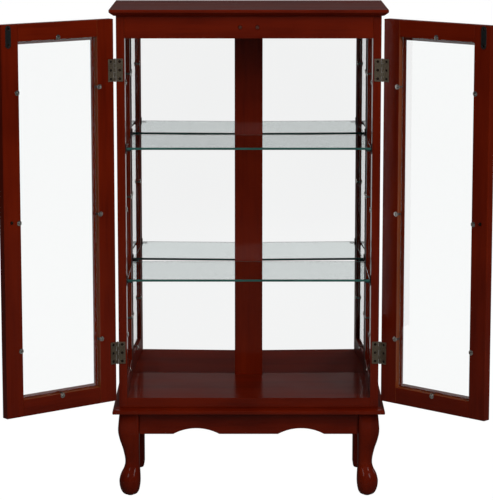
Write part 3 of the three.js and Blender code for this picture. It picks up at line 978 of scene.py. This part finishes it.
# ---- Glazed frames -------------------------------------------------------------------------------
@dataclass
class PaneClips:
    """The round screwed clips along a frame's rebate, which hold its pane.

    The local frame's X runs across the pane and its Y points out of the frame's inner face.
    """

    name: str
    body: str
    pane: str
    board: str
    place: Matrix
    inset: float = 4.2 * MM
    clearance: float = 0.5 * MM
    spread: float = 0.72
    disc_radius: float = 5.7 * MM
    disc_thickness: float = 1.3 * MM
    screw_radius: float = 2.5 * MM
    screw_height: float = 1.5 * MM
    tongue_width: float = 4.4 * MM
    tongue_thickness: float = 1.4 * MM
    tongue_corner: float = 0.5 * MM
    play: float = 0.1 * MM

    def spots(self) -> list[tuple[float, float, Vector]]:
        """Spreads the clips round the pane.

        Returns:
            Each clip's place along X and Z, and its direction towards the pane.
        """
        low, high = extents(self.pane, self.place)
        left, right = low.x - self.clearance, high.x + self.clearance
        bottom, top = low.z - self.clearance, high.z + self.clearance
        middle, rise = (bottom + top) / 2, (top - bottom) / 2 * self.spread
        found = []
        for height in (middle - rise, middle, middle + rise):
            found.append((left - self.inset, height, Vector((1, 0, 0))))
            found.append((right + self.inset, height, Vector((-1, 0, 0))))
        centre = (left + right) / 2
        found.append((centre, bottom - self.inset, Vector((0, 0, 1))))
        found.append((centre, top + self.inset, Vector((0, 0, -1))))
        return found

    def build(self) -> None:
        """Builds the discs, the tongues behind them and the screws."""
        face = extents(self.board, self.place)[1].y
        glass = extents(self.pane, self.place)[1].y
        discs, tongues, screws = Shape(), Shape(), Shape()
        radius, thick = self.disc_radius, self.disc_thickness
        dish = self.screw_radius * 1.25
        profile = [
            (0.90 * radius, 0), (radius, 0.25 * thick), (radius, 0.55 * thick), (0.88 * radius, thick),
            (dish, 1.06 * thick), (0.92 * dish, 0.80 * thick), (0.5 * dish, 0.62 * thick),
        ]
        for x, z, inward in self.spots():
            spot = self.place @ Matrix.Translation((x, face, z))
            discs.lathe(profile, spot @ facing(1), 32)
            seat = spot @ Matrix.Translation((0, 0.6 * thick, 0)) @ facing(1)
            screws.screw_head(seat, self.screw_radius, self.screw_height)
            reach = self.inset + self.tongue_thickness / 2 + self.play
            foot = spot @ Matrix.Translation(inward * reach) @ facing(-1)
            across, along = self.tongue_thickness, self.tongue_width
            if inward.x == 0:
                across, along = along, across
            outline = rounded_rectangle(across, along, self.tongue_corner, 3)
            tongues.prism(outline, face - glass - self.play, foot)
        discs.piece(f"{self.name}_clips", self.body, NICKEL)
        tongues.piece(f"{self.name}_clip_tongues", self.body, GLIDE)
        screws.piece(f"{self.name}_clip_screws", self.body, NICKEL)


@dataclass
class SideFrame:
    """The glass and the clips of one fixed side of the case."""

    side: Side
    clip_spread: float = 0.74
    glass_edge: float = 0.3 * MM

    def build(self) -> None:
        """Builds the clips and finishes the pane."""
        label = self.side.value
        place = Matrix.Rotation(self.side.sign * math.pi / 2, 4, "Z")
        pane, board = f"{label}_side_glass", f"{label}_front_stile"
        PaneClips(f"{label}_side", CASE, pane, board, place, spread=self.clip_spread).build()
        dress(pane, DOOR_GLASS, self.glass_edge)


# ---- Hinges --------------------------------------------------------------------------------------
@dataclass
class HingeLeaf:
    """One leaf of a butt hinge: a plate with countersunk screws and its share of the knuckles.

    The local frame's origin is the pin, X runs over the plate, and the leaf's face looks along Y
    in the direction given by outward.
    """

    node: str
    body: str
    place: Matrix
    seat: float
    outward: int
    first_knuckle: int
    knuckles: int = 5
    thickness: float = 1.1 * MM
    knuckle_radius: float = 2.5 * MM
    knuckle_gap: float = 0.4 * MM
    knuckle_steps: int = 26
    lap: float = 0.6 * MM
    plate_start: float = 3.0 * MM
    corner: float = 1.2 * MM
    screw_spacing: float = 18.5 * MM
    screw_radius: float = 2.75 * MM
    hole_radius: float = 3.15 * MM
    edge: float = 0.22 * MM

    def build(self) -> None:
        """Builds the leaf and its screws."""
        low, high = extents(self.node, self.place)
        reach, length, middle = high.x, high.z - low.z, (low.z + high.z) / 2
        face = self.seat + self.outward * self.thickness
        width = reach - self.plate_start
        centre = (reach + self.plate_start) / 2
        flat = Matrix.Translation((centre, self.seat, middle)) @ facing(self.outward)
        heights = [step * self.screw_spacing for step in (-1, 0, 1)]
        shape = Shape()
        shape.prism(
            rounded_rectangle(width, length, self.corner), self.thickness, self.place @ flat,
            [circle(0, height, self.hole_radius) for height in heights],
        )
        pitch = length / self.knuckles
        outline = self._knuckle_outline(face)
        for number in range(self.first_knuckle, self.knuckles, 2):
            bottom = low.z + number * pitch + self.knuckle_gap / 2
            shape.prism(
                outline, pitch - self.knuckle_gap, self.place @ Matrix.Translation((0, 0, bottom))
            )
        soften(shape.piece(f"fine_{self.node}", self.body, BRASS, self.node), self.edge)
        screws = Shape()
        for height in heights:
            spot = Matrix.Translation((centre, self.seat, middle + height)) @ facing(self.outward)
            screws.screw_head(self.place @ spot, self.screw_radius, self.thickness * 0.95)
        screws.piece(f"{self.node}_screws", self.body, SCREW_STEEL)

    def _knuckle_outline(self, face: float) -> list[Point]:
        """Works out a knuckle's section, a round that runs out into the plate.

        Args:
            face: The height of the plate's outer face along Y.

        Returns:
            The section's corners, in order.
        """
        low, high = sorted((self.seat, face))
        limit = 0.97 * self.knuckle_radius
        first = math.asin(min(max(high, -limit), limit) / self.knuckle_radius)
        last = math.asin(min(max(low, -limit), limit) / self.knuckle_radius) + 2 * math.pi
        steps = self.knuckle_steps
        arc = [first + (last - first) * i / steps for i in range(steps + 1)]
        points = [(self.knuckle_radius * math.cos(a), self.knuckle_radius * math.sin(a)) for a in arc]
        end = self.plate_start + self.lap
        return [*points, (end, low), (end, high)]


@dataclass
class Hinge:
    """One hinge of a door: its two leaves and the pin with its round ends."""

    side: Side
    tier: Tier
    door_place: Matrix
    pin_radius: float = 1.25 * MM
    pin_cap: float = 0.9 * MM
    seating: float = 0.3 * MM

    def build(self) -> None:
        """Builds the leaves and the pin."""
        name = f"{self.side.value}_{self.tier.value}_hinge"
        mirror = Matrix.Scale(-self.side.sign, 4, (1, 0, 0))
        pin = self.door_place.translation
        case_place = Matrix.Translation(pin) @ mirror
        case_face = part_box(f"{self.side.value}_front_stile")[0].y - pin.y
        HingeLeaf(f"{name}_case_leaf", CASE, case_place, case_face, -1, 1).build()
        door_place = self.door_place @ mirror
        board = f"{self.side.door}_hinge_stile"
        door_face = extents(board, self.door_place)[1].y + self.seating
        HingeLeaf(f"{name}_door_leaf", self.side.door, door_place, door_face, 1, 0).build()
        low, high = extents(f"{name}_case_leaf", case_place)
        ends = ((low.z, -1), (high.z, 1))
        shape = Shape()
        radius, cap = self.pin_radius, self.pin_cap
        profile = [(1.0, 0), (1.5, 0), (1.5, 0.35), (1.2, 0.75), (0.6, 1.0)]
        for height, way in ends:
            turned = [(radius * r, way * cap * rise) for r, rise in profile]
            shape.lathe(turned, Matrix.Translation((pin.x, pin.y, height)), 24)
        shape.piece(f"{name}_pin_ends", CASE, BRASS)


# ---- Doors ---------------------------------------------------------------------------------------
@dataclass
class Door:
    """One door: frame, pane, clips, knob, strike plate and hinges."""

    side: Side
    edge: float = 0.8 * MM
    glass_edge: float = 0.3 * MM
    rebate_reach: float = 0.8 * MM
    knob_screw_radius: float = 3.6 * MM
    knob_screw_height: float = 2.1 * MM
    plate_edge: float = 0.3 * MM
    plate_hole_radius: float = 3.3 * MM
    plate_screw_radius: float = 2.9 * MM
    plate_screw_height: float = 1.3 * MM

    KNOB_PROFILE = (
        (7.2, 0.0), (7.2, 0.7), (6.6, 1.5), (5.0, 2.2), (4.0, 3.0), (3.6, 4.2), (3.7, 5.3), (4.8, 6.2),
        (6.9, 7.3), (8.3, 8.7), (8.8, 10.3), (8.6, 12.0), (7.6, 13.6), (5.8, 14.9), (3.4, 15.7),
        (1.0, 16.0),
    )

    @property
    def place(self) -> Matrix:
        """The door's own frame, as if it were shut, with the hinge's axis as its Z.

        Returns:
            The matrix from the door's frame to the row frame.
        """
        joint = next(j for j in frame["joints"] if j["child"] == self.side.door)
        axis, pos = Vector(joint["axis"]), Vector(joint["pos_m"])
        turn = Matrix.Rotation(math.radians(-joint["range_deg"][0]), 4, axis)
        return Matrix.Translation((pos.x, pos.y, 0)) @ turn

    def dress(self) -> None:
        """Gives the frame its grain and the pane its glass."""
        turn = self.place.to_euler().z
        parts = (
            ("hinge_stile", Grain.UPRIGHT), ("meeting_stile", Grain.UPRIGHT),
            ("top_rail", Grain.ACROSS), ("bottom_rail", Grain.ACROSS),
        )
        for part, grain in parts:
            lacquer = CherryLacquer(grain, turn if grain is Grain.ACROSS else 0.0)
            dress(f"{self.side.door}_{part}", lacquer, self.edge)
            # Paints lamplight onto the rebate walls with the paler copy of the lacquer.
            self._paint_lit_rebate(f"{self.side.door}_{part}", 0 if grain is Grain.UPRIGHT else 2)
        dress(f"{self.side.door}_glass", DOOR_GLASS, self.glass_edge)

    def _paint_lit_rebate(self, node: str, axis: int) -> None:
        """Gives the rebate's wall, beside the pane, a paler lacquer that paints light on it.

        Args:
            node: The board of the frame.
            axis: The number of the axis that the wall faces along.
        """
        back = self.place.inverted()
        low, high = extents(f"{self.side.door}_glass", self.place)
        mesh = frame["nodes"][node].data
        # The second slot holds the painted-light copy of the lacquer for the walls beside the pane.
        mesh.materials.append(LIT_REBATE_PAINT.material())
        for face in mesh.polygons:
            at, normal = (back @ face.center)[axis], (back.to_3x3() @ face.normal)[axis]
            if abs(normal) > 0.9 and min(abs(at - low[axis]), abs(at - high[axis])) < self.rebate_reach:
                face.material_index = 1

    def build(self) -> None:
        """Builds the door's fittings."""
        name = self.side.door
        PaneClips(name, name, f"{name}_glass", f"{name}_meeting_stile", self.place).build()
        self._knob()
        self._strike_plate()
        for tier in Tier:
            Hinge(self.side, tier, self.place).build()

    def _knob(self) -> None:
        """Builds the turned knob outside and its screw inside."""
        name = f"{self.side.door}_knob"
        low, high = extents(name, self.place)
        x, z = (low.x + high.x) / 2, (low.z + high.z) / 2
        board_low, board_high = extents(f"{self.side.door}_meeting_stile", self.place)
        shape = Shape()
        outside = Matrix.Translation((x, board_low.y, z)) @ facing(-1)
        profile = [(radius * MM, height * MM) for radius, height in self.KNOB_PROFILE]
        shape.lathe(profile, self.place @ outside, 48)
        shape.piece(f"turned_{name}", self.side.door, BRASS, name, crease=50.0)
        inside = Matrix.Translation((x, board_high.y, z)) @ facing(1)
        screw = Shape()
        screw.screw_head(self.place @ inside, self.knob_screw_radius, self.knob_screw_height)
        screw.piece(f"{name}_screw", self.side.door, SCREW_STEEL)

    def _strike_plate(self) -> None:
        """Builds the plate that the catch's magnet holds, with a screw at each end."""
        name = f"{self.side.door}_strike_plate"
        low, high = extents(name, self.place)
        width, length = high.x - low.x, high.z - low.z
        middle = Matrix.Translation(((low.x + high.x) / 2, low.y, (low.z + high.z) / 2))
        flat = self.place @ middle @ facing(1)
        ends = [way * (length / 2 - 0.52 * width) for way in (-1, 1)]
        shape = Shape()
        outline = rounded_rectangle(width, length, width / 2 - 0.05 * MM, 12)
        holes = [circle(0, end, self.plate_hole_radius) for end in ends]
        shape.prism(outline, high.y - low.y, flat, holes)
        soften(shape.piece(f"fine_{name}", self.side.door, STEEL, name), self.plate_edge)
        screws = Shape()
        for end in ends:
            spot = flat @ Matrix.Translation((0, end, 0))
            screws.screw_head(spot, self.plate_screw_radius, self.plate_screw_height)
        screws.piece(f"{name}_screws", self.side.door, SCREW_STEEL)


# ---- Inside --------------------------------------------------------------------------------------
@dataclass
class Catch:
    """A round magnet in its cup, set in the top rail behind one door."""

    side: Side
    lip: float = 0.3 * MM
    well_depth: float = 0.5 * MM

    def build(self) -> None:
        """Builds the cup and the magnet's face."""
        name = f"catch_magnet_{self.side.value}"
        low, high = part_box(name)
        radius = (high.x - low.x) / 2
        depth = high.y - low.y
        back = Matrix.Translation(((low.x + high.x) / 2, high.y, (low.z + high.z) / 2)) @ facing(-1)
        lip, well = self.lip, depth - self.well_depth
        cup = Shape()
        cup.lathe(
            [
                (0.9 * radius, 0), (radius, 0.04 * depth), (radius, depth - lip), (radius - lip, depth),
                (0.80 * radius, depth), (0.76 * radius, well), (0.5 * radius, well),
            ],
            back,
        )
        cup.piece(f"cup_{name}", CASE, CATCH_CUP, name)
        start, shoulder, top = (depth - below for below in (0.6 * MM, 0.25 * MM, 0.1 * MM))
        core = Shape()
        core.lathe([(0.68 * radius, start), (0.68 * radius, shoulder), (0.6 * radius, top)], back)
        core.piece(f"core_{name}", CASE, FERRITE)


@dataclass
class Shelf:
    """A glass shelf on its four plugged supports."""

    tier: Tier
    edge: float = 0.7 * MM
    support_edge: float = 0.35 * MM

    def dress(self) -> None:
        """Finishes the glass, its cut edges and the supports."""
        node = f"{self.tier.value}_shelf"
        dress(node, SHELF_GLASS, self.edge)
        mesh = frame["nodes"][node].data
        mesh.materials.append(SHELF_EDGE.material())
        for face in mesh.polygons:
            face.material_index = int(abs(face.normal.z) < 0.5)
        for place in ("front", "rear"):
            for side in Side:
                support = f"{node}_support_{place}_{side.value}"
                dress(support, BLACK_PLASTIC, self.support_edge)


# ---- Studio --------------------------------------------------------------------------------------
@dataclass
class Lamp:
    """A soft lamp aimed at the cabinet."""

    name: str
    at: tuple[float, float, float]
    size: float
    power: float
    glossy: bool = True
    tall: float = 1.0

    def build(self, target: Vector) -> None:
        """Hangs the lamp.

        Args:
            target: The point that it is aimed at.
        """
        data = bpy.data.lights.new(self.name, "AREA")
        data.shape = "RECTANGLE"
        data.size = self.size
        data.size_y = self.size * self.tall
        data.energy = self.power
        lamp = bpy.data.objects.new(self.name, data)
        lamp.location = self.at
        lamp.rotation_euler = (target - Vector(self.at)).to_track_quat("-Z", "Y").to_euler()
        lamp.visible_camera = False
        lamp.visible_transmission = False
        lamp.visible_glossy = self.glossy
        bpy.context.scene.collection.objects.link(lamp)


@dataclass
class Studio:
    """A white studio: the floor, the light all round, the soft lamps and the camera."""

    floor_half: float = 60.0
    floor_glow: float = 1.03
    glow_share: float = 0.97
    camera_distance: float = 5.2
    camera_height: float = 1.456
    lens: float = 174.2
    aim_height: float = 0.5569
    aim_aside: float = -0.0048
    lamps: tuple[Lamp, ...] = (
        Lamp("key", (1.9, -2.3, 2.3), 1.2, 27.0, glossy=False),
        Lamp("right_strip", (1.7, -3.0, 1.9), 0.7, 16.0, tall=2.2),
        Lamp("left_strip", (-1.3, -3.0, 1.9), 0.5, 7.0, tall=2.6),
        Lamp("overhead", (0.0, -1.5, 2.6), 1.2, 17.0, glossy=False),
        Lamp("behind", (0.0, 1.8, 2.4), 1.6, 7.0),
        Lamp("fill", (0.2, -3.4, 1.0), 1.2, 9.0, glossy=False),
        Lamp("rear_left", (-2.2, 2.8, 1.7), 1.4, 26.0),
        Lamp("rear_right", (2.6, 1.6, 1.5), 1.2, 12.0),
    )

    MIRRORED = (
        (0.0, (0.92, 0.92, 0.92)), (0.08, (0.45, 0.45, 0.46)), (0.135, (0.46, 0.46, 0.47)),
        (0.18, (0.57, 0.57, 0.58)), (0.195, (0.57, 0.57, 0.58)), (0.222, (0.09, 0.09, 0.09)),
    )

    def build(self) -> None:
        """Builds the whole studio."""
        low, high = CAD_BOX
        target = (low + high) / 2
        self._floor()
        self._surroundings()
        for lamp in self.lamps:
            lamp.build(target)
        self._camera()
        bpy.context.scene.view_settings.view_transform = "Standard"

    def _floor(self) -> None:
        """Lays the pale floor."""
        half = self.floor_half
        mesh = bpy.data.meshes.new("studio_floor")
        corners = [(-half, -half, 0), (half, -half, 0), (half, half, 0), (-half, half, 0)]
        mesh.from_pydata(corners, [], [(0, 1, 2, 3)])
        nodes = Nodes.of("studio_floor")
        path = nodes.add("LightPath")
        sharp = nodes.maths("MAXIMUM", path.outputs["Is Camera Ray"], path.outputs["Is Singular Ray"])
        white = nodes.add("Emission", {"Color": WHITE, "Strength": self.floor_glow})
        lit = nodes.add("BsdfDiffuse", {"Color": (0.8, 0.8, 0.8, 1)})
        dim = nodes.add("BsdfDiffuse", {"Color": (0.22, 0.21, 0.20, 1)})
        seen = nodes.add("MixShader", {0: self.glow_share, 1: lit.outputs[0], 2: white.outputs[0]})
        mixed = nodes.add("MixShader", {0: sharp, 1: dim.outputs[0], 2: seen.outputs[0]})
        mesh.materials.append(nodes.finish(mixed.outputs[0]))
        floor = bpy.data.objects.new("studio_floor", mesh)
        bpy.context.scene.collection.objects.link(floor)

    def _surroundings(self) -> None:
        """Sets the white surroundings and the softer light that the finishes catch."""
        world = bpy.data.worlds.new("studio")
        bpy.context.scene.world = world
        nodes = Nodes(world)
        path = nodes.add("LightPath").outputs
        way = nodes.add("TexCoord").outputs["Generated"]
        rise = nodes.add("SeparateXYZ", {0: way}).outputs["Z"]
        mirrored = nodes.ramp(rise, self.MIRRORED)
        straight = nodes.maths("MAXIMUM", path["Is Camera Ray"], path["Is Transmission Ray"])
        sharp = nodes.add("Mix", {0: straight, 2: mirrored, 3: 1.0}).outputs[0]
        gloss = nodes.span(rise, (-0.3, 0.9), (0.012, 0.07))
        ambient = nodes.span(rise, (-0.3, 0.8), (0.02, 0.16))
        soft = nodes.add("Mix", {0: path["Is Diffuse Ray"], 2: gloss, 3: ambient}).outputs[0]
        exact = nodes.maths("MAXIMUM", path["Is Camera Ray"], path["Is Singular Ray"])
        strength = nodes.add("Mix", {0: exact, 2: soft, 3: sharp}).outputs[0]
        light = nodes.add("Background", {"Color": WHITE, "Strength": strength})
        nodes.add("OutputWorld", {"Surface": light.outputs[0]})

    def _camera(self) -> None:
        """Sets the camera in front of the case, above its crown."""
        low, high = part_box("top_rail")
        middle, face = (low.x + high.x) / 2, low.y
        data = bpy.data.cameras.new("camera")
        data.lens = self.lens
        data.sensor_width = 36.0
        camera = bpy.data.objects.new("camera", data)
        aside = middle + self.aim_aside
        camera.location = (aside, face - self.camera_distance, self.camera_height)
        target = Vector((aside, face, self.aim_height))
        camera.rotation_euler = (target - camera.location).to_track_quat("-Z", "Y").to_euler()
        bpy.context.scene.collection.objects.link(camera)
        bpy.context.scene.camera = camera


def main() -> None:
    """Builds the studio and the cabinet."""
    logging.basicConfig(level=logging.INFO, format="%(name)s: %(message)s")
    Studio().build()
    carcase = Carcase()
    carcase.dress()
    carcase.build()
    for side in Side:
        for front in (True, False):
            Leg(side, front).build()
        SideFrame(side).build()
        dress(f"{side.value}_mirror", MIRROR, MIRROR_EDGE)
        Catch(side).build()
        door = Door(side)
        door.dress()
        door.build()
    for tier in Tier:
        Shelf(tier).dress()


if __name__ == "__main__":
    main()
